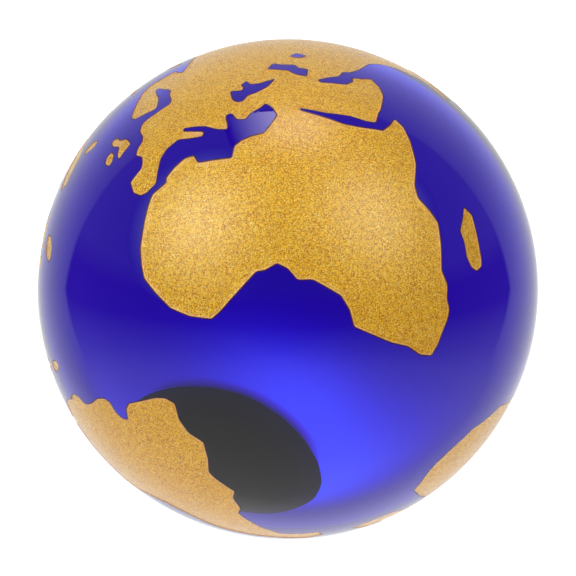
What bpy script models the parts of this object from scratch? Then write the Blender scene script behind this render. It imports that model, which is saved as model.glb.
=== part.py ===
"""World globe paperweight: a solid glass ball with the continents sand-carved
into its surface and filled with gilding, standing on a small ground foot with
a felt pad.

Frame: metres, +Z up, origin at the middle of the pad's underside, the front
of the globe towards -Y.  The map is turned so that the foot falls in the open
Pacific and eastern Africa is on top, which is how the piece stands.

Every land mass is one separate gilding inlay lying in its own recess.
"""
import bpy
import bmesh
import numpy as np
from mathutils.geometry import delaunay_2d_cdt

# ---------------------------------------------------------------- dimensions
BALL_RADIUS = 0.040
FOOT_RADIUS = 0.0106         # flat ground on the bottom of the ball
CARVE_DEPTH = 0.00025        # recess floor below the glass surface
GILDING_THICKNESS = 0.00012
GILDING_CLEARANCE = 0.00004  # under the inlay
GILDING_INSET = 0.00008      # between the inlay's edge and the recess wall
ADHESIVE_RADIUS = 0.0100
ADHESIVE_THICKNESS = 0.0003
PAD_RADIUS = 0.0103
PAD_THICKNESS = 0.0013
PAD_EDGE_ROUND = 0.0002
STACK_GAP = 0.0001           # between foot, adhesive and pad

FOOT_LON_LAT = (-153, -10)   # point of the map under the ball
FRONT_LON_LAT = (-59, -25)   # point of the map nearest the front

SURFACE_POINTS = 950         # evenly spread points that carry the sphere
COAST_STEP = 4.0             # longest straight piece of coast, degrees
FOOT_SEGMENTS = 48

FOOT_ANGLE = np.arcsin(FOOT_RADIUS / BALL_RADIUS)
PAD_TOP = PAD_THICKNESS
ADHESIVE_BOTTOM = PAD_TOP + STACK_GAP
FOOT_Z = ADHESIVE_BOTTOM + ADHESIVE_THICKNESS + STACK_GAP
CENTRE_Z = FOOT_Z + BALL_RADIUS * np.cos(FOOT_ANGLE)

# ---------------------------------------------------------------------- map
# Coasts of the carved map, longitude and latitude in degrees.  Each land is
# one closed outline, followed by any inland seas cut out of it.

# Africa and the Red Sea
ATLANTIC_AFRICA = [(-5.5, 35.5), (-8, 34), (-11.5, 31), (-15.5, 27), (-17.5, 23.5), (-18.5, 21), (-18, 17), (-17, 12), (-14.5, 8), (-11, 4.5), (-8.5, 4.5)]
GULF_OF_GUINEA = [(-5, 5), (-1, 5.5), (3, 6), (4.5, 5), (7.5, 4.5), (8.5, 2), (8.5, -1), (11, -3), (12, -5.5), (13.5, -9.5), (13, -13), (11.5, -16.5)]
SOUTHERN_AFRICA = [(16, -24.5), (19, -28), (20.5, -31.5), (23, -33.5), (26, -32.5), (28.5, -31), (32, -29), (33.5, -27.5), (34, -25.5), (36, -23), (36.5, -19.5)]
EASTERN_AFRICA = [(38.5, -17), (40, -15), (42.5, -11), (42.5, -8), (42, -4), (43.5, -1.5), (48, 2), (51.5, 6.5), (53.5, 10), (53.5, 12.5), (51, 12), (48, 12)]
RED_SEA_WEST = [(44.5, 15.5), (42, 18.5), (40, 23), (37.7, 27.8)]

# Arabia, the Persian Gulf and southern Asia
RED_SEA_EAST = [(38.3, 28.4), (41.5, 23.5), (45, 19.5), (47, 16), (48.5, 14.5)]
ARABIAN_SEA = [(49.8, 15), (51.5, 15.8), (53.3, 16.2), (58, 18.2), (60.5, 20.5), (62, 23.5), (59.5, 25), (58, 26.5), (57, 25.5), (54, 26), (52, 28.3), (50, 30.4), (50.5, 31.5), (53.7, 30.2), (55.7, 29), (57.4, 29), (58.7, 29.3), (60.3, 28), (64, 27.2), (68.3, 27.2), (70.7, 27)]
INDIA = [(75, 25), (78, 22.3), (80, 19), (82, 16.5), (82.5, 14.5), (81.3, 12), (82, 9), (83.5, 8.5), (85, 12), (88, 16.5), (92, 21)]
INDOCHINA = [(94, 18.5), (97, 16), (98.5, 10), (100, 6.5), (103.5, 1.5), (103.5, 4.5), (100.5, 8.5), (100.5, 13), (103, 11.5), (105.5, 9), (109, 12), (107.5, 17), (106, 20.5), (109, 21.5)]

# The Pacific side of Asia
CHINA_KOREA = [(114, 22.5), (118.5, 24.5), (121.5, 28.5), (121, 32), (119.5, 35), (122.5, 37), (118.5, 38), (121, 40.5), (124.5, 40), (126, 37), (126.5, 34.5), (129.5, 35.5), (128, 39), (131, 43), (135.5, 44)]
OKHOTSK = [(140, 48.5), (140.5, 52.5), (137, 54), (143, 59.5), (154, 59.5), (157, 57), (156.5, 51.5), (160, 53), (163, 57.5), (167, 60), (172, 61), (179, 62.5), (187, 64.5), (190, 66)]

# The Arctic coast, from Bering Strait to northern Norway
SIBERIA = [(182, 69), (170, 70), (160, 69.5), (150, 71.5), (140, 72.5), (131, 71), (125, 73.5), (113, 74), (105, 77.5), (98, 76), (87, 75), (81, 72.5), (74, 72), (68.5, 71), (67, 68.5)]
BARENTS_SEA = [(62, 68.3), (56, 67.3), (50, 66.7), (45, 65.5), (37.5, 64), (38, 66), (40.5, 68), (37, 69), (32, 70)]

# Scandinavia, the Baltic and the North Sea
NORWAY = [(26, 71.5), (17, 70.5), (10.5, 68), (5, 64.8), (1.5, 62), (2.5, 60.3)]
BALTIC_WEST = [(7.5, 59), (10.5, 58), (12.5, 57.6), (14.5, 59), (17, 61), (18.3, 63.5), (21, 66)]
BALTIC_EAST = [(22.5, 65.5), (23, 62), (23.5, 60), (21, 58.8), (20, 57.5), (19, 56), (17, 55), (10.3, 55.8), (5.2, 56.2)]
NORTH_SEA = [(3.3, 55.7), (1.5, 54), (1.5, 52), (0.5, 50.5), (-2.5, 49.5), (-4, 48)]

# Biscay, Iberia and the north shore of the Mediterranean
IBERIA = [(-2.5, 46.5), (-3, 45), (-4.5, 43.5), (-9.5, 42.5), (-10, 39.5), (-8.5, 37.5), (-6.5, 37), (-3, 37.3), (-1.3, 39.2), (2, 42)]
ITALY = [(5, 43), (9.5, 43), (12, 41), (15, 39), (16.3, 39.7), (14.3, 41.8), (12.3, 43.8)]
BALKANS = [(13, 44.7), (15.8, 42.7), (17.8, 40.8), (19.3, 37.8), (21, 36), (22.3, 37.2), (23.3, 38.8), (24.3, 39.5), (25.7, 38.8), (25, 36.5), (26.5, 35)]
LEVANT = [(29, 35.5), (31.5, 35), (34, 35), (34, 33), (32.8, 30.5)]
NORTH_AFRICA = [(29, 29.5), (26.4, 29), (23.6, 30.4), (21, 31.2), (18.7, 31.2), (16, 29.3), (12.5, 31.8), (9, 34), (9.5, 36.3), (7.2, 37.3), (3.5, 37.2), (0, 36.5), (-0.5, 35.5), (-3.5, 35.5)]

BLACK_SEA = [(32.2, 44.6), (34.3, 42.4), (35.7, 42.8), (36, 44), (38.7, 44.1), (38, 42.3), (39.8, 40.7), (44, 39), (39.6, 38.4), (36, 39), (33.5, 40), (31, 39.5), (29.5, 40.5), (29.7, 42)]
CASPIAN_SEA = [(47, 43), (51, 43.5), (51.5, 41.5), (53.5, 39), (52.5, 37.5), (53.5, 35.5), (50, 34), (49, 36), (49, 37.5), (49.5, 38.5)]
ARAL_SEA = [(57.8, 42.2), (61.3, 42), (61, 39), (58, 40)]

# The Americas
ARCTIC_AMERICA = [(-168, 66), (-165, 68.5), (-156, 71), (-141, 69.5), (-128, 70), (-115, 68), (-96, 68), (-93, 71), (-86, 69.5), (-82, 67), (-88, 64), (-94, 61)]
HUDSON_BAY = [(-94, 58.5), (-88, 56.5), (-82.5, 55), (-81, 51.5), (-79, 53), (-77, 57), (-78, 61), (-74, 62)]
LABRADOR = [(-69, 60), (-66, 56), (-63, 52.5), (-64, 49), (-69, 47.5), (-65, 45.5), (-66, 43.5), (-70, 43)]
EAST_COAST = [(-72, 41), (-76, 37), (-77, 35), (-81, 31.5), (-80, 26), (-82.5, 28), (-84, 30), (-90, 30), (-95, 29), (-97.5, 26), (-97.5, 21), (-95, 18.5), (-91.5, 19), (-90, 21.5), (-87, 21), (-88.5, 16)]
ISTHMUS_NORTH = [(-83.5, 15), (-83.5, 11), (-80, 9.5), (-76.5, 9.5), (-72.5, 12.5)]
GUIANAS = [(-68, 12.8), (-64.5, 12), (-62.7, 12.8), (-60.7, 12.3), (-59, 11), (-58.4, 9.4), (-57, 8.6), (-54.5, 8.1), (-51, 8), (-48.5, 7), (-47.5, 5.5), (-48, 3), (-47.5, 1), (-46, 0)]
BRAZIL = [(-44, 2), (-42, 2.5), (-38, 1), (-34.5, -0.3), (-32.3, -1.8), (-31.3, -4), (-33.6, -7.2), (-34.5, -10.7), (-33.7, -14.5), (-37, -18), (-40.7, -20.5), (-41.3, -22.5), (-41.7, -25.5), (-42, -28), (-45, -29)]
ARGENTINA = [(-48.5, -32.5), (-51.5, -33), (-53.5, -35.5), (-57, -40), (-61, -46), (-60, -50), (-57.5, -54)]
CHILE_PERU = [(-63, -56), (-70, -53.5), (-69, -49.5), (-69, -45.5), (-69.7, -37), (-70, -33), (-67.5, -24.5), (-68.3, -19), (-72, -15), (-77, -12), (-80, -7), (-81, -3), (-79.5, 1), (-77.5, 5)]
ISTHMUS_SOUTH = [(-79, 7.5), (-83, 8), (-86, 10.5), (-88, 13), (-94, 16), (-99, 16.5), (-105.5, 20)]
CALIFORNIA = [(-106.5, 23.5), (-110, 27), (-114, 31), (-110.5, 24.5), (-113.5, 26.5), (-117, 32.5), (-121, 35), (-124.5, 40), (-124, 47)]
ALASKA = [(-128, 51), (-131.5, 55.5), (-136, 58.5), (-146, 60.5), (-152, 59.5), (-156, 57), (-164, 54.5), (-158, 58.5), (-165, 61), (-161, 64)]

# Antarctica, starting at the Peninsula
ANTARCTICA_COAST = [(-58, -62.5), (-52, -64), (-46, -67), (-42, -70), (-46, -74), (-40, -78.5), (-28, -78), (-22, -74), (-14, -67), (0, -64), (6.5, -63), (16, -62.5), (30, -62), (54, -63), (66, -65), (77, -64.5), (95, -65.5), (115, -66), (135, -66), (155, -69), (170, -73), (165, -78), (180, -79), (200, -78), (210, -75), (235, -73), (260, -72), (285, -71.5), (293, -67)]

LANDS = {
    "afro_eurasia": [ATLANTIC_AFRICA + GULF_OF_GUINEA + SOUTHERN_AFRICA + EASTERN_AFRICA + RED_SEA_WEST + RED_SEA_EAST + ARABIAN_SEA + INDIA + INDOCHINA + CHINA_KOREA + OKHOTSK + SIBERIA + BARENTS_SEA + NORWAY + BALTIC_WEST + BALTIC_EAST + NORTH_SEA + IBERIA + ITALY + BALKANS + LEVANT + NORTH_AFRICA, BLACK_SEA, CASPIAN_SEA, ARAL_SEA],
    "americas": [ARCTIC_AMERICA + HUDSON_BAY + LABRADOR + EAST_COAST + ISTHMUS_NORTH + GUIANAS + BRAZIL + ARGENTINA + CHILE_PERU + ISTHMUS_SOUTH + CALIFORNIA + ALASKA],
    "antarctica": [ANTARCTICA_COAST],
    "australia": [[(114, -22), (122, -18), (126, -14), (131, -12), (136.5, -12), (135.5, -15), (140, -17.5), (142, -11), (146, -19), (153, -25), (153, -31), (150, -37.5), (144, -38.5), (138, -34), (131, -31.5), (124, -33.5), (118, -35), (115, -33)]],
    "greenland": [[(-53, 59.7), (-47, 60), (-43.5, 63.5), (-40.5, 66), (-41, 69), (-46, 72), (-38, 76), (-22, 80), (-32, 83.3), (-58, 82), (-70, 77.5), (-63, 75.5), (-58, 70), (-57, 64)]],
    "iceland": [[(-34, 65), (-29, 64.5), (-23.5, 64), (-22, 65.5), (-27, 67), (-33, 66.8)]],
    "great_britain": [[(-10, 59.1), (-8.2, 58.7), (-7.5, 57), (-4.6, 55.6), (-3.8, 53), (-6, 52.5), (-8.5, 52), (-10.3, 51.3), (-10.4, 53), (-8.6, 55), (-9.5, 56), (-11.4, 57), (-11.7, 59)]],
    "ireland": [[(-12.5, 55.6), (-12, 54), (-13.3, 52.5), (-15.2, 52), (-16.7, 53.8), (-15, 55.3)]],
    "madagascar": [[(52, -12), (53, -14.5), (49, -24), (48, -25), (46, -25), (45, -23.5), (45, -21), (46.5, -18), (47, -15.5), (49.5, -14)]],
    "newfoundland": [[(-57.5, 49.5), (-53.5, 48), (-51.8, 45), (-53, 42.7), (-55.5, 42.7), (-58, 45), (-59, 48)]],
    "hispaniola": [[(-69.5, 20.8), (-67.5, 22), (-63.5, 21.3), (-63, 19.8), (-67, 19.2)]],
    "cuba": [[(-84, 22.3), (-80, 24), (-72, 22.8), (-71.5, 21.5), (-76, 20.8), (-81, 22.3)]],
    "baffin_island": [[(-64, 66), (-64, 63), (-70, 64), (-74, 66.5), (-72, 69), (-80, 70.5), (-88, 72), (-84, 73.8), (-76, 72.5), (-68, 70)]],
    "ellesmere_island": [[(-76, 79), (-88, 77), (-92, 80), (-84, 82.5), (-68, 82.5)]],
    "victoria_island": [[(-116, 70), (-104, 69), (-104, 73), (-114, 73)]],
    "svalbard": [[(14, 77), (22, 78.5), (25, 80), (12, 79.5)]],
    "novaya_zemlya": [[(54, 71), (58, 71), (60, 74.5), (68, 76.5), (60, 76.5), (54, 73.5)]],
    "severnaya_zemlya": [[(96, 79.5), (104, 79), (102, 81), (94, 81)]],
    "sakhalin": [[(142, 46.5), (143.5, 49.5), (143, 54), (141.5, 51)]],
    "hokkaido": [[(140, 42), (143.5, 42.5), (145, 44), (141.5, 45)]],
    "honshu": [[(131, 34.2), (135.5, 33.8), (140.5, 35.5), (142, 39.5), (141, 41), (139.5, 38.5), (136, 36)]],
    "kyushu": [[(130, 33.3), (132, 33), (131, 31), (130, 31.3)]],
    "taiwan": [[(120.2, 23), (121, 22.3), (121.8, 25), (120.8, 25)]],
    "hainan": [[(108.8, 19.2), (109.8, 18.2), (111, 19.8), (109.5, 20)]],
    "luzon": [[(120, 16), (121, 13.5), (124, 13), (122, 16), (122, 18.5), (120.5, 18.5)]],
    "mindanao": [[(122, 7.5), (125.5, 6), (126.5, 8.5), (125, 11), (123.5, 10)]],
    "borneo": [[(109, 1.5), (110, -2), (114, -4), (116.5, -3), (118.5, 1), (119, 5), (117, 7), (113, 3.5)]],
    "sulawesi": [[(119, -5), (121, -5), (122, -1), (125, 1), (120.5, 1.3), (119, -2.5)]],
    "sumatra": [[(95.5, 5.5), (99, 1), (102.5, -4), (105.5, -5.8), (106, -3), (103.5, -0.5), (100, 3)]],
    "java": [[(105.5, -6.8), (110, -8), (115, -8.5), (114, -7), (108.5, -6.3)]],
    "new_guinea": [[(131, -0.8), (135, -1), (138, -2), (145, -5), (150.5, -10.5), (146, -8.8), (143, -9), (138, -8), (134.5, -4)]],
    "sri_lanka": [[(86, 8.3), (85.2, 6.5), (86.2, 5), (87.5, 6.5)]],
    "tasmania": [[(144.8, -41), (148.2, -41), (147.2, -43.5), (145.8, -43)]],
    "new_zealand_north": [[(173, -35), (176, -37.5), (178.5, -38), (176, -41.5), (174, -39.5)]],
    "new_zealand_south": [[(173, -40.8), (174, -42), (171, -45.5), (168, -46.7), (167, -45.5)]],
}


# ----------------------------------------------------------------- geometry
def unit(lon, lat):
    """Direction of a point of the map, in the map's own axes."""
    lon, lat = np.radians(lon), np.radians(lat)
    return np.array([np.cos(lat) * np.cos(lon), np.cos(lat) * np.sin(lon), np.sin(lat)])


def map_axes():
    """Rows are the frame's X, Y and Z in the map's axes."""
    z = -unit(*FOOT_LON_LAT)
    front = unit(*FRONT_LON_LAT)
    front = front - front.dot(z) * z
    y = -front / np.linalg.norm(front)
    return np.array([np.cross(y, z), y, z])


def coast_directions(outline, axes):
    """Unit vectors along one closed coast, its long stretches subdivided."""
    corners = [axes @ unit(lon, lat) for lon, lat in outline]
    points = []
    for a, b in zip(corners, corners[1:] + corners[:1]):
        angle = np.degrees(np.arccos(np.clip(a.dot(b), -1, 1)))
        steps = max(1, int(np.ceil(angle / COAST_STEP)))
        for i in range(steps):
            p = a + (b - a) * i / steps
            points.append(p / np.linalg.norm(p))
    return np.array(points)


def even_directions(count):
    """Points spread evenly over the sphere on a golden spiral."""
    i = np.arange(count) + 0.5
    z = 1 - 2 * i / count
    turn = np.pi * (1 + 5 ** 0.5) * i
    r = np.sqrt(1 - z * z)
    return np.c_[r * np.cos(turn), r * np.sin(turn), z]


def flatten(directions):
    """Stereographic projection from the foot's pole, where circles stay circles."""
    return directions[:, :2] / (1 + directions[:, 2:3])


def inside(points, ring):
    """Which of the flat points lie inside a closed flat ring."""
    x, y = points[:, 0], points[:, 1]
    hit = np.zeros(len(points), bool)
    for (x0, y0), (x1, y1) in zip(ring, np.roll(ring, -1, axis=0)):
        if y0 != y1:
            crosses = (y0 > y) != (y1 > y)
            hit ^= crosses & (x < (x1 - x0) * (y - y0) / (y1 - y0) + x0)
    return hit


def triangulate(axes):
    """One mesh of the whole sphere above the foot that follows every coast.

    Returns the directions, the triangles, each triangle's land (or None for
    sea) and the coasts as lists of point numbers."""
    rings, ring_land, chunks, total = [], [], [], 0
    for name, outlines in LANDS.items():
        for outline in outlines:
            d = coast_directions(outline, axes)
            rings.append(list(range(total, total + len(d))))
            ring_land.append(name)
            chunks.append(d)
            total += len(d)
    coast = np.concatenate(chunks)

    turn = np.linspace(0, 2 * np.pi, FOOT_SEGMENTS, endpoint=False)
    s, c = np.sin(FOOT_ANGLE), np.cos(FOOT_ANGLE)
    rim = np.c_[s * np.cos(turn), s * np.sin(turn), np.full_like(turn, -c)]

    spacing = np.sqrt(4 * np.pi / SURFACE_POINTS)
    extremes = np.array([[1, 0, 0], [-1, 0, 0], [0, 1, 0], [0, -1, 0], [0, 0, 1]], float)
    free = np.concatenate([extremes, even_directions(SURFACE_POINTS)])
    kept = []
    for p in free:
        near_coast = (coast @ p).max() > np.cos(0.5 * spacing)
        near_foot = p[2] < -np.cos(FOOT_ANGLE + 0.6 * spacing)
        near_kept = kept and (np.array(kept) @ p).max() > np.cos(0.5 * spacing)
        if not (near_coast or near_foot or near_kept):
            kept.append(p)
    directions = np.concatenate([coast, rim, np.array(kept)])

    edges = [(a, b) for r in rings for a, b in zip(r, r[1:] + r[:1])]
    rim_ids = list(range(total, total + FOOT_SEGMENTS))
    edges += list(zip(rim_ids, rim_ids[1:] + rim_ids[:1]))
    flat = flatten(directions)
    out = delaunay_2d_cdt([tuple(p) for p in flat], edges, [], 0, 1e-9)
    if len(out[0]) != len(directions):
        raise ValueError("two coasts touch or cross")
    order = np.array([o[0] for o in out[3]])
    triangles = [tuple(int(order[v]) for v in f) for f in out[2]]

    centres = np.array([flat[list(t)].mean(axis=0) for t in triangles])
    land = np.full(len(triangles), None, object)
    for name in LANDS:
        within = np.zeros(len(triangles), bool)
        for ring, owner in zip(rings, ring_land):
            if owner == name:
                within ^= inside(centres, flat[ring])
        land[within] = name
    wound = []
    for t in triangles:
        a, b, c = (directions[i] for i in t)
        wound.append(t if np.cross(b - a, c - a).dot(a) > 0 else (t[0], t[2], t[1]))
    return directions, wound, land, rings, rim_ids


def mesh_from(name, vertices, faces):
    mesh = bpy.data.meshes.new(name)
    mesh.from_pydata([tuple(map(float, v)) for v in vertices], [], faces)
    mesh.update()
    return mesh


def glass_ball_mesh(directions, triangles, land, rings, rim_ids):
    """The ball with its foot ground flat and every land sunk by CARVE_DEPTH."""
    top = {}
    floor = {}
    vertices, faces = [], []

    def vertex(table, i, radius):
        if i not in table:
            table[i] = len(vertices)
            vertices.append(directions[i] * radius + (0, 0, CENTRE_Z))
        return table[i]

    for t, owner in zip(triangles, land):
        table, radius = (top, BALL_RADIUS) if owner is None else (floor, BALL_RADIUS - CARVE_DEPTH)
        faces.append([vertex(table, i, radius) for i in t])
    shore = {}
    for t, owner in zip(triangles, land):
        if owner is not None:
            for a, b in zip(t, t[1:] + t[:1]):
                shore[(a, b)] = True
    for ring in rings:
        for a, b in zip(ring, ring[1:] + ring[:1]):
            if (a, b) not in shore:
                a, b = b, a
            faces.append([floor[b], floor[a], top[a]])
            faces.append([floor[b], top[a], top[b]])
    faces.append([top[i] for i in reversed(rim_ids)])
    return mesh_from("glass_ball", vertices, faces)


def gilding_mesh(name, directions, triangles, land, rings):
    """The underside of one land's inlay, an open surface for Solidify."""
    mine = [t for t, owner in zip(triangles, land) if owner == name]
    shift = {}
    for t in mine:
        for a, b in zip(t, t[1:] + t[:1]):
            shift[(a, b)] = shift.get((a, b), 0) + 1
    border = [(a, b) for a, b in shift if (b, a) not in shift]
    inward = {}
    for a, b in border:
        pa, pb = directions[a], directions[b]
        n = np.cross(pa, pb - pa)
        n /= np.linalg.norm(n)
        for i in (a, b):
            inward.setdefault(i, []).append(n)
    radius = BALL_RADIUS - CARVE_DEPTH + GILDING_CLEARANCE
    ids, vertices = {}, []
    for t in mine:
        for i in t:
            if i in ids:
                continue
            p = directions[i] * radius
            if i in inward:
                n = sum(inward[i])
                size = np.linalg.norm(n)
                if size > 1e-6:
                    n /= size
                    reach = GILDING_INSET / max(0.45, n.dot(inward[i][0]))
                    p = p + n * reach
                    p *= radius / np.linalg.norm(p)
            ids[i] = len(vertices)
            vertices.append(p + (0, 0, CENTRE_Z))
    return mesh_from(name + "_gilding", vertices, [[ids[i] for i in t] for t in mine])


# ------------------------------------------------------------------- objects
def material(name, colour, roughness, metallic=0.0, transmission=0.0):
    m = bpy.data.materials.new(name)
    m.use_nodes = True
    shader = m.node_tree.nodes["Principled BSDF"]
    shader.inputs["Base Color"].default_value = (*colour, 1)
    shader.inputs["Roughness"].default_value = roughness
    shader.inputs["Metallic"].default_value = metallic
    shader.inputs["Transmission Weight"].default_value = transmission
    m.diffuse_color = (*colour, 1)
    return m


def add(collection, name, mesh, mat):
    for polygon in mesh.polygons:
        polygon.use_smooth = True
    mesh.set_sharp_from_angle(angle=np.radians(30))
    mesh.materials.append(mat)
    obj = bpy.data.objects.new(name, mesh)
    collection.objects.link(obj)
    return obj


def disc(collection, name, radius, thickness, bottom, mat, edge=0.0):
    """A round pad standing on the height bottom, its edges slightly rounded."""
    mesh = bpy.data.meshes.new(name)
    bm = bmesh.new()
    bmesh.ops.create_cone(bm, cap_ends=True, segments=FOOT_SEGMENTS, radius1=radius, radius2=radius, depth=thickness)
    bm.to_mesh(mesh)
    bm.free()
    obj = add(collection, name, mesh, mat)
    obj.location.z = bottom + thickness / 2
    if edge:
        bevel = obj.modifiers.new("edge", "BEVEL")
        bevel.width = edge
        bevel.segments = 2
        bevel.limit_method = "ANGLE"
        bevel.angle_limit = np.radians(40)
    return obj


def main():
    for obj in list(bpy.data.objects):
        bpy.data.objects.remove(obj, do_unlink=True)
    collection = bpy.data.collections.new("world_globe_paperweight")
    bpy.context.scene.collection.children.link(collection)

    axes = map_axes()
    sphere = triangulate(axes)
    directions, triangles, land, rings, rim_ids = sphere

    glass = material("cobalt_glass", (0.03, 0.01, 0.45), 0.03, transmission=0.9)
    gold = (0.80, 0.55, 0.16)
    add(collection, "glass_ball", glass_ball_mesh(*sphere), glass)

    for name in LANDS:
        mesh = gilding_mesh(name, directions, triangles, land, rings)
        obj = add(collection, name + "_gilding", mesh, material(name + "_gold", gold, 0.42, metallic=1.0))
        skin = obj.modifiers.new("thickness", "SOLIDIFY")
        skin.thickness = GILDING_THICKNESS
        skin.offset = 1.0

    disc(collection, "pad_adhesive", ADHESIVE_RADIUS, ADHESIVE_THICKNESS, ADHESIVE_BOTTOM,
         material("adhesive_film", (0.05, 0.05, 0.05), 0.4))
    disc(collection, "felt_pad", PAD_RADIUS, PAD_THICKNESS, 0.0,
         material("black_felt", (0.02, 0.02, 0.022), 0.95), edge=PAD_EDGE_ROUND)


main()
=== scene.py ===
import math

import bmesh
import bpy
import numpy as np
from mathutils import Matrix, Vector, kdtree
from mathutils.geometry import delaunay_2d_cdt


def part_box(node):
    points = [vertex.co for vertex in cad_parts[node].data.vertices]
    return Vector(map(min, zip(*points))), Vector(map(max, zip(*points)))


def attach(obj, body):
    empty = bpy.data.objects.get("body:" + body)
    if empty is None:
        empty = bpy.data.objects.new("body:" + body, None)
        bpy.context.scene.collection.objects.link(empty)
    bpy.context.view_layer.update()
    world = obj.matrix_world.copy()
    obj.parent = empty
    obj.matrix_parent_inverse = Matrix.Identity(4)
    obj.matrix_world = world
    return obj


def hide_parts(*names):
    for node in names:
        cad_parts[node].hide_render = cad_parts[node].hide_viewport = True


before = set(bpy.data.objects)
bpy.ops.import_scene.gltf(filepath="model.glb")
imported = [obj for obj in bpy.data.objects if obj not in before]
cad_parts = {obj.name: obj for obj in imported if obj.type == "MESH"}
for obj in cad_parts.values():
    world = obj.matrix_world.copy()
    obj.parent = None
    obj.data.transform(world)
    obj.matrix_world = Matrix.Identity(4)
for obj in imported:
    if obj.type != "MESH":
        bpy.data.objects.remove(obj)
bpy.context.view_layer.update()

# ---------------------------------------------------------------- dimensions
BALL_RADIUS = 0.040
FOOT_RADIUS = 0.0106
FOOT_ANGLE = math.asin(FOOT_RADIUS / BALL_RADIUS)
CARVE_DEPTH = 0.00025        # recess floor below the polished surface
GILDING_DROP = 0.00009       # face of the gilding below the polished surface
WALL_WIDTH = 0.00014         # the sand-blasted wall slopes over this width
FOOT_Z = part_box("glass_ball")[0][2]
CENTRE_Z = FOOT_Z + BALL_RADIUS * math.cos(FOOT_ANGLE)
CENTRE = np.array([0.0, 0.0, CENTRE_Z])

FOOT_LON_LAT = (-153, -10)
FRONT_LON_LAT = (-59, -25)

CORNER_ROUNDING = 0.45       # degrees of coast taken up by rounding a corner
COAST_STEP = 0.40            # degrees between points of the finished coast
WALL_ROWS = (0.00005, 0.00010, 0.00016)   # rows of points beside a coast
SHADE_LINE_WIDTH = 0.00016          # painted shade: a dark hairline shows this far outside a coast
SURFACE_POINTS = 22000

# ---------------------------------------------------------------------- map
# Coasts of the carved map, longitude and latitude in degrees.  Each land is
# one closed outline, followed by any inland seas cut out of it.

# Africa and the Red Sea
ATLANTIC_AFRICA = [(-5.5, 35.5), (-8, 34), (-11.5, 31), (-15.5, 27), (-17.5, 23.5), (-18.5, 21), (-18, 17), (-17, 12), (-14.5, 8), (-11, 4.5), (-8.5, 4.5)]
GULF_OF_GUINEA = [(-5, 5), (-1, 5.5), (3, 6), (4.5, 5), (7.5, 4.5), (8.5, 2), (8.5, -1), (11, -3), (12, -5.5), (13.5, -9.5), (13, -13), (11.5, -16.5)]
SOUTHERN_AFRICA = [(16, -24.5), (19, -28), (20.5, -31.5), (23, -33.5), (26, -32.5), (28.5, -31), (32, -29), (33.5, -27.5), (34, -25.5), (36, -23), (36.5, -19.5)]
EASTERN_AFRICA = [(38.5, -17), (40, -15), (42.5, -11), (42.5, -8), (42, -4), (43.5, -1.5), (48, 2), (51.5, 6.5), (53.5, 10), (53.5, 12.5), (51, 12), (48, 12)]
RED_SEA_WEST = [(44.5, 15.5), (42, 18.5), (40, 23), (37.7, 27.8)]

# Arabia, the Persian Gulf and southern Asia
RED_SEA_EAST = [(38.3, 28.4), (41.5, 23.5), (45, 19.5), (47, 16), (48.5, 14.5)]
ARABIAN_SEA = [(49.8, 15), (51.5, 15.8), (53.3, 16.2), (58, 18.2), (60.5, 20.5), (62, 23.5), (59.5, 25), (58, 26.5), (57, 25.5), (54, 26), (52, 28.3), (50, 30.4), (50.5, 31.5), (53.7, 30.2), (55.7, 29), (57.4, 29), (58.7, 29.3), (60.3, 28), (64, 27.2), (68.3, 27.2), (70.7, 27)]
INDIA = [(75, 25), (78, 22.3), (80, 19), (82, 16.5), (82.5, 14.5), (81.3, 12), (82, 9), (83.5, 8.5), (85, 12), (88, 16.5), (92, 21)]
INDOCHINA = [(94, 18.5), (97, 16), (98.5, 10), (100, 6.5), (103.5, 1.5), (103.5, 4.5), (100.5, 8.5), (100.5, 13), (103, 11.5), (105.5, 9), (109, 12), (107.5, 17), (106, 20.5), (109, 21.5)]

# The Pacific side of Asia
CHINA_KOREA = [(114, 22.5), (118.5, 24.5), (121.5, 28.5), (121, 32), (119.5, 35), (122.5, 37), (118.5, 38), (121, 40.5), (124.5, 40), (126, 37), (126.5, 34.5), (129.5, 35.5), (128, 39), (131, 43), (135.5, 44)]
OKHOTSK = [(140, 48.5), (140.5, 52.5), (137, 54), (143, 59.5), (154, 59.5), (157, 57), (156.5, 51.5), (160, 53), (163, 57.5), (167, 60), (172, 61), (179, 62.5), (187, 64.5), (190, 66)]

# The Arctic coast, from Bering Strait to northern Norway
SIBERIA = [(182, 69), (170, 70), (160, 69.5), (150, 71.5), (140, 72.5), (131, 71), (125, 73.5), (113, 74), (105, 77.5), (98, 76), (87, 75), (81, 72.5), (74, 72), (68.5, 71), (67, 68.5)]
BARENTS_SEA = [(62, 68.3), (56, 67.3), (50, 66.7), (45, 65.5), (37.5, 64), (38, 66), (40.5, 68), (37, 69), (32, 70)]

# Scandinavia, the Baltic and the North Sea
NORWAY = [(26, 71.5), (17, 70.5), (10.5, 68), (5, 64.8), (1.5, 62), (2.5, 60.3)]
BALTIC_WEST = [(7.5, 59), (10.5, 58), (12.5, 57.6), (14.5, 59), (17, 61), (18.3, 63.5), (21, 66)]
BALTIC_EAST = [(22.5, 65.5), (23, 62), (23.5, 60), (21, 58.8), (20, 57.5), (19, 56), (17, 55), (10.3, 55.8), (5.2, 56.2)]
NORTH_SEA = [(3.3, 55.7), (1.5, 54), (1.5, 52), (0.5, 50.5), (-2.5, 49.5), (-4, 48)]

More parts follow.
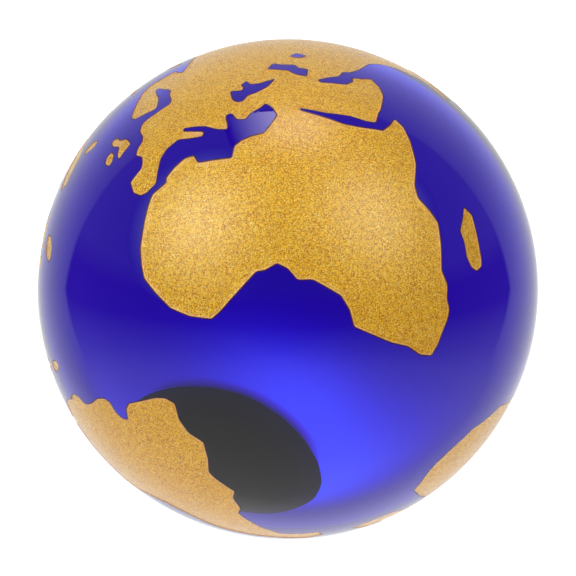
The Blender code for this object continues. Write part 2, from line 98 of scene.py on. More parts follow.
# Biscay, Iberia and the north shore of the Mediterranean
IBERIA = [(-2.5, 46.5), (-3, 45), (-4.5, 43.5), (-9.5, 42.5), (-10, 39.5), (-8.5, 37.5), (-6.5, 37), (-3, 37.3), (-1.3, 39.2), (2, 42)]
ITALY = [(5, 43), (9.5, 43), (12, 41), (15, 39), (16.3, 39.7), (14.3, 41.8), (12.3, 43.8)]
BALKANS = [(13, 44.7), (15.8, 42.7), (17.8, 40.8), (19.3, 37.8), (21, 36), (22.3, 37.2), (23.3, 38.8), (24.3, 39.5), (25.7, 38.8), (25, 36.5), (26.5, 35)]
LEVANT = [(29, 35.5), (31.5, 35), (34, 35), (34, 33), (32.8, 30.5)]
NORTH_AFRICA = [(29, 29.5), (26.4, 29), (23.6, 30.4), (21, 31.2), (18.7, 31.2), (16, 29.3), (12.5, 31.8), (9, 34), (9.5, 36.3), (7.2, 37.3), (3.5, 37.2), (0, 36.5), (-0.5, 35.5), (-3.5, 35.5)]

BLACK_SEA = [(32.2, 44.6), (34.3, 42.4), (35.7, 42.8), (36, 44), (38.7, 44.1), (38, 42.3), (39.8, 40.7), (44, 39), (39.6, 38.4), (36, 39), (33.5, 40), (31, 39.5), (29.5, 40.5), (29.7, 42)]
CASPIAN_SEA = [(47, 43), (51, 43.5), (51.5, 41.5), (53.5, 39), (52.5, 37.5), (53.5, 35.5), (50, 34), (49, 36), (49, 37.5), (49.5, 38.5)]
ARAL_SEA = [(57.8, 42.2), (61.3, 42), (61, 39), (58, 40)]

# The Americas
ARCTIC_AMERICA = [(-168, 66), (-165, 68.5), (-156, 71), (-141, 69.5), (-128, 70), (-115, 68), (-96, 68), (-93, 71), (-86, 69.5), (-82, 67), (-88, 64), (-94, 61)]
HUDSON_BAY = [(-94, 58.5), (-88, 56.5), (-82.5, 55), (-81, 51.5), (-79, 53), (-77, 57), (-78, 61), (-74, 62)]
LABRADOR = [(-69, 60), (-66, 56), (-63, 52.5), (-64, 49), (-69, 47.5), (-65, 45.5), (-66, 43.5), (-70, 43)]
EAST_COAST = [(-72, 41), (-76, 37), (-77, 35), (-81, 31.5), (-80, 26), (-82.5, 28), (-84, 30), (-90, 30), (-95, 29), (-97.5, 26), (-97.5, 21), (-95, 18.5), (-91.5, 19), (-90, 21.5), (-87, 21), (-88.5, 16)]
ISTHMUS_NORTH = [(-83.5, 15), (-83.5, 11), (-80, 9.5), (-76.5, 9.5), (-72.5, 12.5)]
GUIANAS = [(-68, 12.8), (-64.5, 12), (-62.7, 12.8), (-60.7, 12.3), (-59, 11), (-58.4, 9.4), (-57, 8.6), (-54.5, 8.1), (-51, 8), (-48.5, 7), (-47.5, 5.5), (-48, 3), (-47.5, 1), (-46, 0)]
BRAZIL = [(-44, 2), (-42, 2.5), (-38, 1), (-34.5, -0.3), (-32.3, -1.8), (-31.3, -4), (-33.6, -7.2), (-34.5, -10.7), (-33.7, -14.5), (-37, -18), (-40.7, -20.5), (-41.3, -22.5), (-41.7, -25.5), (-42, -28), (-45, -29)]
ARGENTINA = [(-48.5, -32.5), (-51.5, -33), (-53.5, -35.5), (-57, -40), (-61, -46), (-60, -50), (-57.5, -54)]
CHILE_PERU = [(-63, -56), (-70, -53.5), (-69, -49.5), (-69, -45.5), (-69.7, -37), (-70, -33), (-67.5, -24.5), (-68.3, -19), (-72, -15), (-77, -12), (-80, -7), (-81, -3), (-79.5, 1), (-77.5, 5)]
ISTHMUS_SOUTH = [(-79, 7.5), (-83, 8), (-86, 10.5), (-88, 13), (-94, 16), (-99, 16.5), (-105.5, 20)]
CALIFORNIA = [(-106.5, 23.5), (-110, 27), (-114, 31), (-110.5, 24.5), (-113.5, 26.5), (-117, 32.5), (-121, 35), (-124.5, 40), (-124, 47)]
ALASKA = [(-128, 51), (-131.5, 55.5), (-136, 58.5), (-146, 60.5), (-152, 59.5), (-156, 57), (-164, 54.5), (-158, 58.5), (-165, 61), (-161, 64)]

# Antarctica, starting at the Peninsula
ANTARCTICA_COAST = [(-58, -62.5), (-52, -64), (-46, -67), (-42, -70), (-46, -74), (-40, -78.5), (-28, -78), (-22, -74), (-14, -67), (0, -64), (6.5, -63), (16, -62.5), (30, -62), (54, -63), (66, -65), (77, -64.5), (95, -65.5), (115, -66), (135, -66), (155, -69), (170, -73), (165, -78), (180, -79), (200, -78), (210, -75), (235, -73), (260, -72), (285, -71.5), (293, -67)]

LANDS = {
    "afro_eurasia": [ATLANTIC_AFRICA + GULF_OF_GUINEA + SOUTHERN_AFRICA + EASTERN_AFRICA + RED_SEA_WEST + RED_SEA_EAST + ARABIAN_SEA + INDIA + INDOCHINA + CHINA_KOREA + OKHOTSK + SIBERIA + BARENTS_SEA + NORWAY + BALTIC_WEST + BALTIC_EAST + NORTH_SEA + IBERIA + ITALY + BALKANS + LEVANT + NORTH_AFRICA, BLACK_SEA, CASPIAN_SEA, ARAL_SEA],
    "americas": [ARCTIC_AMERICA + HUDSON_BAY + LABRADOR + EAST_COAST + ISTHMUS_NORTH + GUIANAS + BRAZIL + ARGENTINA + CHILE_PERU + ISTHMUS_SOUTH + CALIFORNIA + ALASKA],
    "antarctica": [ANTARCTICA_COAST],
    "australia": [[(114, -22), (122, -18), (126, -14), (131, -12), (136.5, -12), (135.5, -15), (140, -17.5), (142, -11), (146, -19), (153, -25), (153, -31), (150, -37.5), (144, -38.5), (138, -34), (131, -31.5), (124, -33.5), (118, -35), (115, -33)]],
    "greenland": [[(-53, 59.7), (-47, 60), (-43.5, 63.5), (-40.5, 66), (-41, 69), (-46, 72), (-38, 76), (-22, 80), (-32, 83.3), (-58, 82), (-70, 77.5), (-63, 75.5), (-58, 70), (-57, 64)]],
    "iceland": [[(-34, 65), (-29, 64.5), (-23.5, 64), (-22, 65.5), (-27, 67), (-33, 66.8)]],
    "great_britain": [[(-10, 59.1), (-8.2, 58.7), (-7.5, 57), (-4.6, 55.6), (-3.8, 53), (-6, 52.5), (-8.5, 52), (-10.3, 51.3), (-10.4, 53), (-8.6, 55), (-9.5, 56), (-11.4, 57), (-11.7, 59)]],
    "ireland": [[(-12.5, 55.6), (-12, 54), (-13.3, 52.5), (-15.2, 52), (-16.7, 53.8), (-15, 55.3)]],
    "madagascar": [[(52, -12), (53, -14.5), (49, -24), (48, -25), (46, -25), (45, -23.5), (45, -21), (46.5, -18), (47, -15.5), (49.5, -14)]],
    "newfoundland": [[(-57.5, 49.5), (-53.5, 48), (-51.8, 45), (-53, 42.7), (-55.5, 42.7), (-58, 45), (-59, 48)]],
    "hispaniola": [[(-69.5, 20.8), (-67.5, 22), (-63.5, 21.3), (-63, 19.8), (-67, 19.2)]],
    "cuba": [[(-84, 22.3), (-80, 24), (-72, 22.8), (-71.5, 21.5), (-76, 20.8), (-81, 22.3)]],
    "baffin_island": [[(-64, 66), (-64, 63), (-70, 64), (-74, 66.5), (-72, 69), (-80, 70.5), (-88, 72), (-84, 73.8), (-76, 72.5), (-68, 70)]],
    "ellesmere_island": [[(-76, 79), (-88, 77), (-92, 80), (-84, 82.5), (-68, 82.5)]],
    "victoria_island": [[(-116, 70), (-104, 69), (-104, 73), (-114, 73)]],
    "svalbard": [[(14, 77), (22, 78.5), (25, 80), (12, 79.5)]],
    "novaya_zemlya": [[(54, 71), (58, 71), (60, 74.5), (68, 76.5), (60, 76.5), (54, 73.5)]],
    "severnaya_zemlya": [[(96, 79.5), (104, 79), (102, 81), (94, 81)]],
    "sakhalin": [[(142, 46.5), (143.5, 49.5), (143, 54), (141.5, 51)]],
    "hokkaido": [[(140, 42), (143.5, 42.5), (145, 44), (141.5, 45)]],
    "honshu": [[(131, 34.2), (135.5, 33.8), (140.5, 35.5), (142, 39.5), (141, 41), (139.5, 38.5), (136, 36)]],
    "kyushu": [[(130, 33.3), (132, 33), (131, 31), (130, 31.3)]],
    "taiwan": [[(120.2, 23), (121, 22.3), (121.8, 25), (120.8, 25)]],
    "hainan": [[(108.8, 19.2), (109.8, 18.2), (111, 19.8), (109.5, 20)]],
    "luzon": [[(120, 16), (121, 13.5), (124, 13), (122, 16), (122, 18.5), (120.5, 18.5)]],
    "mindanao": [[(122, 7.5), (125.5, 6), (126.5, 8.5), (125, 11), (123.5, 10)]],
    "borneo": [[(109, 1.5), (110, -2), (114, -4), (116.5, -3), (118.5, 1), (119, 5), (117, 7), (113, 3.5)]],
    "sulawesi": [[(119, -5), (121, -5), (122, -1), (125, 1), (120.5, 1.3), (119, -2.5)]],
    "sumatra": [[(95.5, 5.5), (99, 1), (102.5, -4), (105.5, -5.8), (106, -3), (103.5, -0.5), (100, 3)]],
    "java": [[(105.5, -6.8), (110, -8), (115, -8.5), (114, -7), (108.5, -6.3)]],
    "new_guinea": [[(131, -0.8), (135, -1), (138, -2), (145, -5), (150.5, -10.5), (146, -8.8), (143, -9), (138, -8), (134.5, -4)]],
    "sri_lanka": [[(86, 8.3), (85.2, 6.5), (86.2, 5), (87.5, 6.5)]],
    "tasmania": [[(144.8, -41), (148.2, -41), (147.2, -43.5), (145.8, -43)]],
    "new_zealand_north": [[(173, -35), (176, -37.5), (178.5, -38), (176, -41.5), (174, -39.5)]],
    "new_zealand_south": [[(173, -40.8), (174, -42), (171, -45.5), (168, -46.7), (167, -45.5)]],
}


# ------------------------------------------------------------ map and sphere
def unit(lon, lat):
    lon, lat = np.radians(lon), np.radians(lat)
    return np.array([np.cos(lat) * np.cos(lon), np.cos(lat) * np.sin(lon), np.sin(lat)])


def map_axes():
    """Rows are the frame's X, Y and Z in the map's axes."""
    z = -unit(*FOOT_LON_LAT)
    front = unit(*FRONT_LON_LAT)
    front = front - front.dot(z) * z
    y = -front / np.linalg.norm(front)
    return np.array([np.cross(y, z), y, z])


def degrees_between(a, b):
    return np.degrees(np.arccos(np.clip(np.dot(a, b), -1, 1)))


def rounded_coast(outline, axes):
    """One closed coast as unit vectors: corners rounded, then evenly divided."""
    corners = [axes @ unit(lon, lat) for lon, lat in outline]
    curve = []
    for i, b in enumerate(corners):
        a, c = corners[i - 1], corners[(i + 1) % len(corners)]
        la, lc = degrees_between(a, b), degrees_between(c, b)
        d = min(CORNER_ROUNDING, 0.42 * la, 0.42 * lc)
        start, end = b + (a - b) * d / la, b + (c - b) * d / lc
        for t in np.linspace(0, 1, 5):
            p = (1 - t) ** 2 * start + 2 * t * (1 - t) * b + t * t * end
            curve.append(p / np.linalg.norm(p))
    curve = np.array(curve)
    # walk the curve in equal steps
    closed = np.vstack([curve, curve[:1]])
    length = np.r_[0, np.cumsum(np.linalg.norm(np.diff(closed, axis=0), axis=1))]
    count = max(12, int(round(np.degrees(length[-1]) / COAST_STEP)))
    at = np.linspace(0, length[-1], count, endpoint=False)
    even = np.stack([np.interp(at, length, closed[:, k]) for k in range(3)], axis=1)
    return even / np.linalg.norm(even, axis=1)[:, None]


def even_directions(count):
    i = np.arange(count) + 0.5
    z = 1 - 2 * i / count
    turn = np.pi * (1 + 5 ** 0.5) * i
    r = np.sqrt(1 - z * z)
    return np.c_[r * np.cos(turn), r * np.sin(turn), z]


def flatten(directions):
    """Stereographic projection from the foot's pole, where circles stay circles."""
    return directions[:, :2] / (1 + directions[:, 2:3])


def inside(points, ring):
    x, y = points[:, 0], points[:, 1]
    hit = np.zeros(len(points), bool)
    lo, hi = ring.min(axis=0), ring.max(axis=0)
    near = np.nonzero((x > lo[0]) & (x < hi[0]) & (y > lo[1]) & (y < hi[1]))[0]
    px, py = x[near], y[near]
    part = np.zeros(len(near), bool)
    for (x0, y0), (x1, y1) in zip(ring, np.roll(ring, -1, axis=0)):
        if y0 != y1:
            crosses = (y0 > py) != (y1 > py)
            part ^= crosses & (px < (x1 - x0) * (py - y0) / (y1 - y0) + x0)
    hit[near] = part
    return hit


def tree_of(points):
    tree = kdtree.KDTree(len(points))
    for i, p in enumerate(points):
        tree.insert(p, i)
    tree.balance()
    return tree


def divided(ring, parts):
    """A ring with each of its pieces split into parts, for measuring distances."""
    nxt = np.roll(ring, -1, axis=0)
    return np.concatenate([ring + (nxt - ring) * k / parts for k in range(parts)])


class Sphere:
    """One fine triangulation of the ball above its foot that follows every coast."""

    def __init__(self, axes):
        rings, owner = [], []
        for name, outlines in LANDS.items():
            for k, outline in enumerate(outlines):
                rings.append(rounded_coast(outline, axes))
                owner.append(name)
        coast = np.concatenate(rings)
        fine = np.concatenate([divided(r, 5) for r in rings]) * BALL_RADIUS
        coast_tree = tree_of(fine)
        self.off_coast = lambda direction: coast_tree.find(direction * BALL_RADIUS)[2]

        # rows of points just inside each coast carry the recess wall, and one row just outside bounds the hairline of
        # painted shade
        rows = []
        for distance in WALL_ROWS + (-SHADE_LINE_WIDTH,):
            for ring, name in zip(rings, owner):
                flat = flatten(ring)
                nxt = np.roll(flat, -1, axis=0)
                turn_left = np.sum(flat[:, 0] * nxt[:, 1] - nxt[:, 0] * flat[:, 1]) > 0
                hole = ring is not rings[owner.index(name)]
                side = 1.0 if turn_left != hole else -1.0
                tangent = np.roll(ring, -1, axis=0) - np.roll(ring, 1, axis=0)
                left = np.cross(ring, tangent)
                left /= np.linalg.norm(left, axis=1)[:, None]
                q = ring + side * left * distance / BALL_RADIUS
                q /= np.linalg.norm(q, axis=1)[:, None]
                for p in q:
                    if coast_tree.find(p * BALL_RADIUS)[2] > 0.9 * abs(distance):
                        rows.append(p)
            if distance > 0:
                walls = len(rows)
        rows, walls = self.thinned(np.array(rows), 0.00004, walls)

        ring_count = 144
        turn = np.linspace(0, 2 * np.pi, ring_count, endpoint=False)
        rim_angle = FOOT_ANGLE + 0.0008
        rim = np.c_[np.sin(rim_angle) * np.cos(turn), np.sin(rim_angle) * np.sin(turn), -np.cos(rim_angle) * np.ones(ring_count)]

        extremes = np.array([[1, 0, 0], [-1, 0, 0], [0, 1, 0], [0, -1, 0], [0, 0, 1]], float)
        free = np.concatenate([extremes, even_directions(SURFACE_POINTS)])
        spacing = math.sqrt(4 * math.pi / SURFACE_POINTS) * BALL_RADIUS
        taken = tree_of(np.concatenate([coast, rows]) * BALL_RADIUS)
        keep = [
            p for p in free
            if taken.find(p * BALL_RADIUS)[2] > 0.42 * spacing and p[2] > -math.cos(rim_angle + 0.4 * spacing / BALL_RADIUS)
        ]
        self.directions = np.concatenate([coast, rim, rows, np.array(keep)])
        self.rings, at = [], 0
        for ring in rings:
            self.rings.append(list(range(at, at + len(ring))))
            at += len(ring)
        self.rim = list(range(at, at + ring_count))
        # the last rows and the coast itself bound the hairline of painted shade
        self.coast_count = len(coast)
        self.beside_coast = np.zeros(len(self.directions), bool)
        self.beside_coast[: len(coast)] = True
        first_row = len(coast) + ring_count
        self.beside_coast[first_row + walls : first_row + len(rows)] = True

        edges = [(a, b) for r in self.rings + [self.rim] for a, b in zip(r, r[1:] + r[:1])]
        flat = flatten(self.directions)
        out = delaunay_2d_cdt([tuple(p) for p in flat], edges, [], 0, 1e-9)
        if len(out[0]) != len(self.directions):
            raise ValueError("two coasts touch or cross")
        order = np.array([o[0] for o in out[3]])
        tri = order[np.array(out[2])]
        a, b, c = (self.directions[tri[:, k]] for k in range(3))
        inward = np.einsum("ij,ij->i", np.cross(b - a, c - a), a) < 0
        tri[inward] = tri[inward][:, ::-1]
        self.triangles = tri

        centres = flat[tri].mean(axis=1)
        self.land = np.full(len(tri), -1)
        self.names = list(LANDS)
        for k, name in enumerate(self.names):
            within = np.zeros(len(tri), bool)
            for ring, who in zip(self.rings, owner):
                if who == name:
                    within ^= inside(centres, flat[ring])
            self.land[within] = k

        on_land = np.unique(tri[self.land >= 0])
        self.from_coast = np.zeros(len(self.directions))
        for i in on_land:
            self.from_coast[i] = coast_tree.find(self.directions[i] * BALL_RADIUS)[2]
        self.from_coast[: len(coast)] = 0.0

    @staticmethod
    def thinned(points, gap, count):
        """Drops points closer than gap to an earlier one; also returns how many of the first count stay."""
        tree = tree_of(points * BALL_RADIUS)
        dropped = np.zeros(len(points), bool)
        for i, p in enumerate(points):
            if not dropped[i]:
                for _, j, _ in tree.find_range(p * BALL_RADIUS, gap):
                    if j > i:
                        dropped[j] = True
        return points[~dropped], int((~dropped[:count]).sum())


def ease(x):
    x = np.clip(x, 0, 1)
    return x * x * (3 - 2 * x)


def new_object(name, vertices, faces):
    mesh = bpy.data.meshes.new(name)
    mesh.from_pydata([tuple(map(float, v)) for v in vertices], [], faces)
    mesh.update()
    obj = bpy.data.objects.new(name, mesh)
    bpy.context.scene.collection.objects.link(obj)
    return obj


# ----------------------------------------------------------------- materials
class Nodes:
    """Short helpers round one material's node tree."""

    def __init__(self, name):
        self.material = bpy.data.materials.new(name)
        self.material.use_nodes = True
        self.tree = self.material.node_tree
        self.tree.nodes.clear()
        self.output = self.add("ShaderNodeOutputMaterial")

    def add(self, kind, inputs=None, **settings):
        node = self.tree.nodes.new(kind)
        for key, value in settings.items():
            setattr(node, key, value)
        for key, value in (inputs or {}).items():
            self.put(node, key, value)
        return node

    def put(self, node, key, value):
        socket = node.inputs[key]
        if isinstance(value, bpy.types.NodeSocket):
            self.tree.links.new(value, socket)
        else:
            socket.default_value = value

    def object_point(self):
        return self.add("ShaderNodeTexCoord").outputs["Object"]

    def noise(self, vector, scale, detail=2.0, roughness=0.5, distortion=0.0):
        node = self.add("ShaderNodeTexNoise", {"Vector": vector, "Scale": scale, "Detail": detail, "Roughness": roughness, "Distortion": distortion})
        return node.outputs["Fac"]

    def cells(self, vector, scale):
        node = self.add("ShaderNodeTexVoronoi", {"Vector": vector, "Scale": scale})
        return node.outputs["Distance"], node.outputs["Color"]

    def remap(self, value, low, high, to_low=0.0, to_high=1.0):
        node = self.add("ShaderNodeMapRange", {"Value": value, "From Min": low, "From Max": high, "To Min": to_low, "To Max": to_high}, clamp=True)
        return node.outputs["Result"]

    def maths(self, operation, a, b=0.0):
        node = self.add("ShaderNodeMath", {0: a, 1: b}, operation=operation)
        return node.outputs[0]

    def mix(self, factor, a, b, blend="MIX"):
        node = self.add("ShaderNodeMix", data_type="RGBA", blend_type=blend)
        self.put(node, 0, factor)
        self.put(node, 6, a)
        self.put(node, 7, b)
        return node.outputs[2]

    def bump(self, height, strength, distance, normal=None):
        inputs = {"Height": height, "Strength": strength, "Distance": distance}
        if normal is not None:
            inputs["Normal"] = normal
        return self.add("ShaderNodeBump", inputs).outputs["Normal"]

    def principled(self, **inputs):
        node = self.add("ShaderNodeBsdfPrincipled", {k.replace("_", " "): v for k, v in inputs.items()})
        self.put(self.output, "Surface", node.outputs["BSDF"])
        return node


def cobalt_glass():
    n = Nodes("cobalt_crystal")
    p = n.object_point()
    # a hand-polished surface: almost flat, a few faint wipe marks
    wave = n.noise(p, 90.0, 2.0, 0.4)
    wipe = n.noise(p, 420.0, 3.0, 0.6)
    rough = n.remap(wipe, 0.56, 0.74, 0.0, 0.02)
    normal = n.bump(wave, 0.05, 0.0002)
    n.principled(Base_Color=(1, 1, 1, 1), Roughness=rough, IOR=1.59, Transmission_Weight=1.0, Normal=normal)
    tint = n.add("ShaderNodeVolumeAbsorption", {"Color": (0.465, 0.235, 0.858, 1), "Density": 100.0})
    n.put(n.output, "Volume", tint.outputs["Volume"])
    return n.material


def ground_glass():
    """The foot's ground flat, seen only through the ball and round the pad's edge."""
    n = Nodes("ground_foot")
    p = n.object_point()
    grit = n.noise(p, 9000.0, 3.0, 0.6)
    n.principled(Base_Color=(0.9, 0.92, 1.0, 1), Roughness=n.remap(grit, 0.3, 0.7, 0.35, 0.6), IOR=1.59, Transmission_Weight=1.0,
                 Normal=n.bump(grit, 0.5, 0.00002))
    tint = n.add("ShaderNodeVolumeAbsorption", {"Color": (0.465, 0.235, 0.858, 1), "Density": 100.0})
    n.put(n.output, "Volume", tint.outputs["Volume"])
    return n.material


def gilding():
    n = Nodes("granular_gilding")
    p = n.object_point()
    coast = n.add("ShaderNodeAttribute", attribute_name="from_coast").outputs["Fac"]
    grain = n.noise(p, 3400.0, 3.0, 0.65)
    _, cell_colour = n.cells(p, 8400.0)
    cell = n.add("ShaderNodeSeparateColor", {"Color": cell_colour})
    fleck, painted_glint = cell.outputs[0], cell.outputs[1]
    cloud = n.noise(p, 110.0, 3.0, 0.5)
    patch = n.noise(p, 420.0, 2.0, 0.5)
    # grains of lighter and darker leaf
    speck = n.maths("ADD", n.maths("MULTIPLY", fleck, 0.9), n.maths("MULTIPLY", n.remap(grain, 0.36, 0.64), 0.1))
    colour = n.mix(n.remap(speck, 0.08, 0.75), (0.45, 0.108, 0.001, 1), (1.0, 0.545, 0.022, 1))
    # painted glints: the brightest few cells are painted pale yellow, standing in for sparkle
    colour = n.mix(n.maths("MULTIPLY", n.remap(painted_glint, 0.87, 0.97), 0.8), colour, (1.0, 0.82, 0.28, 1))
    colour = n.mix(n.remap(cloud, 0.35, 0.7, 0.0, 0.15), colour, (0.74, 0.35, 0.012, 1))
    # painted highlight: a paler lip beside the coast where the edge catches the light, and inside it, here and there, a
    # browner line of painted shade near the foot of the recess wall
    corner_shade = n.maths("MULTIPLY", n.remap(coast, 0.20, 0.28), n.remap(coast, 0.50, 0.34))
    corner_shade = n.maths("MULTIPLY", corner_shade, n.remap(patch, 0.50, 0.62, 0.1, 0.75))
    colour = n.mix(corner_shade, colour, (0.62, 0.22, 0.008, 1))
    # painted highlight along the lip
    lip = n.maths("MULTIPLY", n.remap(coast, 0.28, 0.18), n.remap(patch, 0.35, 0.60, 0.85, 0.35))
    colour = n.mix(lip, colour, (0.92, 0.46, 0.17, 1))
    edge = n.remap(coast, 0.11, 0.05)
    colour = n.mix(n.maths("MULTIPLY", edge, 0.75), colour, (0.36, 0.075, 0.02, 1))
    rough = n.remap(speck, 0.2, 0.8, 0.62, 0.46)
    height = n.maths("ADD", n.maths("MULTIPLY", grain, 0.7), n.maths("MULTIPLY", fleck, 0.7))
    n.principled(Base_Color=colour, Metallic=0.3, Roughness=rough, IOR=1.3, Coat_Weight=0.9, Coat_Roughness=0.20, Coat_IOR=1.52,
                 Normal=n.bump(height, 1.0, 0.00005), Coat_Normal=n.bump(height, 0.9, 0.00004))
    return n.material


def leaf_back():
    """The underside of the gilding, seen only through the glass."""
    n = Nodes("gilding_back")
    p = n.object_point()
    cloud = n.noise(p, 60.0, 2.0, 0.4)
    colour = n.mix(cloud, (0.40, 0.28, 0.52, 1), (0.46, 0.32, 0.60, 1))
    n.principled(Base_Color=colour, Roughness=n.remap(cloud, 0.3, 0.7, 0.5, 0.6))
    return n.material


def painted_coast_shade():
    """Painted shade: a near-black hairline on the glass round the gilding."""
    n = Nodes("painted_coast_shade")
    p = n.object_point()
    run = n.noise(p, 900.0, 2.0, 0.5)
    colour = n.mix(run, (0.016, 0.0005, 0.020, 1), (0.05, 0.004, 0.03, 1))
    n.principled(Base_Color=colour, Roughness=n.remap(run, 0.3, 0.7, 0.25, 0.4), Normal=n.bump(run, 0.2, 0.00002))
    return n.material


def felt():
    n = Nodes("black_wool_felt")
    p = n.object_point()
    fibre = n.noise(p, 2600.0, 4.0, 0.7, 1.5)
    tuft = n.noise(p, 500.0, 2.0, 0.5)
    colour = n.mix(fibre, (0.010, 0.010, 0.011, 1), (0.045, 0.045, 0.05, 1))
    colour = n.mix(n.remap(tuft, 0.4, 0.7, 0.0, 0.4), colour, (0.06, 0.06, 0.065, 1))
    n.principled(Base_Color=colour, Roughness=n.remap(fibre, 0.3, 0.7, 0.98, 0.85), Sheen_Weight=0.4, Sheen_Roughness=0.5,
                 Normal=n.bump(fibre, 0.9, 0.00012))
    return n.material


def adhesive():
    """A black film, painted violet-blue towards its edge: painted light standing in for light leaking through the glass
    round the pad.
    """
    n = Nodes("adhesive_film")
    p = n.object_point()
    streak = n.noise(p, 260.0, 2.0, 0.5)
    flat = n.add("ShaderNodeVectorMath", operation="MULTIPLY")
    n.put(flat, 0, p)
    n.put(flat, 1, (1.0, 1.0, 0.0))
    radius = n.add("ShaderNodeVectorMath", operation="LENGTH")
    n.put(radius, 0, flat.outputs["Vector"])
    out = n.remap(radius.outputs["Value"], 0.0090, 0.0105)
    thin = n.maths("MULTIPLY", n.maths("MULTIPLY", out, out), n.remap(streak, 0.3, 0.7, 0.85, 1.0))
    colour = n.mix(streak, (0.012, 0.012, 0.014, 1), (0.022, 0.022, 0.026, 1))
    # painted light: the film's edge turns violet-blue
    colour = n.mix(thin, colour, (0.10, 0.03, 0.45, 1))
    n.principled(Base_Color=colour, Roughness=n.remap(streak, 0.3, 0.7, 0.45, 0.6), Normal=n.bump(streak, 0.1, 0.00002))
    return n.material


# -------------------------------------------------------------------- pieces
def make_glass(sphere, polished, ground, painted_rim):
    """The polished ball, the recess of every land sunk in it and the foot ground flat."""
    height = BALL_RADIUS - CARVE_DEPTH * ease(sphere.from_coast / WALL_WIDTH)
    vertices = list(sphere.directions * height[:, None] + CENTRE)
    faces = [tuple(int(i) for i in t) for t in sphere.triangles]
    kinds = [0 if land < 0 else 1 for land in sphere.land]
    # the band of triangles just outside each coast is painted near-black, a hairline of painted shade
    for k, t in enumerate(sphere.triangles):
        if kinds[k] == 0 and sphere.beside_coast[t].all() and sphere.off_coast(sphere.directions[t].mean(axis=0)) < 0.7 * SHADE_LINE_WIDTH:
            kinds[k] = 3
    count = len(sphere.rim)
    previous = sphere.rim
    turn = np.linspace(0, 2 * np.pi, count, endpoint=False)
    for radius in (FOOT_RADIUS - 0.00002, 0.0085, 0.0055, 0.0025):
        ring = list(range(len(vertices), len(vertices) + count))
        vertices += [np.array([radius * math.cos(t), radius * math.sin(t), FOOT_Z]) for t in turn]
        for k in range(count):
            j = (k + 1) % count
            faces.append((previous[j], previous[k], ring[k], ring[j]))
            kinds.append(2)
        previous = ring
    faces.append(tuple(reversed(previous)))
    kinds.append(2)
    obj = new_object("glass_ball_polished", vertices, faces)
    mesh = obj.data
    mesh.materials.append(polished)
    mesh.materials.append(ground)
    mesh.materials.append(painted_rim)
    mesh.polygons.foreach_set("material_index", [{2: 1, 3: 2}.get(k, 0) for k in kinds])
    mesh.polygons.foreach_set("use_smooth", [True] * len(faces))
    normals = []
    radial = sphere.directions
    for polygon in mesh.polygons:
        kind = kinds[polygon.index]
        for i in polygon.vertices:
            if kind in (0, 3):
                normals.append(tuple(radial[i]))
            elif kind == 2:
                normals.append(tuple(polygon.normal))
            else:
                normals.append((0.0, 0.0, 0.0))
    mesh.normals_split_custom_set(normals)
    return obj


def make_gilding(sphere, index, material, back_material):
    """One land's inlay: it lines the recess, thin at its lip and full on the floor."""
    mine = sphere.triangles[sphere.land == index]
    used = np.unique(mine)
    place = np.full(len(sphere.directions), -1)
    place[used] = np.arange(len(used))
    s = sphere.from_coast[used]
    d = sphere.directions[used]
    floor = BALL_RADIUS - CARVE_DEPTH * ease(s / WALL_WIDTH)
    top = BALL_RADIUS + 0.000004 - GILDING_DROP * ease(s / WALL_WIDTH)
    under = floor - 0.00002 - 0.00001 * ease(s / WALL_WIDTH)
    count = len(used)
    vertices = np.concatenate([d * top[:, None], d * under[:, None]]) + CENTRE
    tri = place[mine]
    faces = [tuple(map(int, t)) for t in tri] + [tuple(map(int, t[::-1] + count)) for t in tri]
    directed = {(int(t[k]), int(t[(k + 1) % 3])) for t in tri for k in range(3)}
    for a, b in sorted(directed):
        if (b, a) not in directed:
            faces.append((b, a, a + count, b + count))
    obj = new_object(sphere.names[index] + "_gilt_inlay", vertices, faces)
    mesh = obj.data
    mesh.polygons.foreach_set("use_smooth", [True] * len(faces))
    mesh.set_sharp_from_angle(angle=math.radians(55))
    layer = mesh.attributes.new("from_coast", "FLOAT", "POINT")
    layer.data.foreach_set("value", np.tile(np.minimum(s * 1000, 2.0), 2))
    mesh.materials.append(material)
    mesh.materials.append(back_material)
    mesh.polygons.foreach_set("material_index", [1 if len(tri) <= k < 2 * len(tri) else 0 for k in range(len(faces))])
    return obj


def turned(name, profile, segments, material, wobble=0.0):
    """A round piece from its half profile (radius, height), top middle to bottom middle."""
    vertices, faces = [], []
    rows = []
    for radius, z in profile:
        if radius < 1e-7:
            rows.append([len(vertices)])
            vertices.append((0.0, 0.0, z))
            continue
        row = []
        for k in range(segments):
            t = 2 * math.pi * k / segments
            r = radius * (1 + wobble * (math.sin(7 * t + 1.3) * 0.5 + math.sin(17 * t) * 0.3 + math.sin(41 * t + 0.4) * 0.2))
            row.append(len(vertices))
            vertices.append((r * math.cos(t), r * math.sin(t), z))
        rows.append(row)
    for upper, lower in zip(rows, rows[1:]):
        for k in range(segments):
            j = (k + 1) % segments
            if len(upper) == 1:
                faces.append((upper[0], lower[k], lower[j]))
            elif len(lower) == 1:
                faces.append((upper[j], upper[k], lower[0]))
            else:
                faces.append((upper[j], upper[k], lower[k], lower[j]))
    obj = new_object(name, vertices, faces)
    obj.data.polygons.foreach_set("use_smooth", [True] * len(faces))
    obj.data.materials.append(material)
    return obj


axes = map_axes()
sphere = Sphere(axes)

glass_material = cobalt_glass()
ground_material = ground_glass()
gold_material = gilding()
felt_material = felt()
film_material = adhesive()
hairline_shade_material = painted_coast_shade()
back_material = leaf_back()

glass = make_glass(sphere, glass_material, ground_material, hairline_shade_material)
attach(glass, "root")
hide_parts("glass_ball")

for index, name in enumerate(sphere.names):
    inlay = make_gilding(sphere, index, gold_material, back_material)
    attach(inlay, "root")
    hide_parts(name + "_gilding")

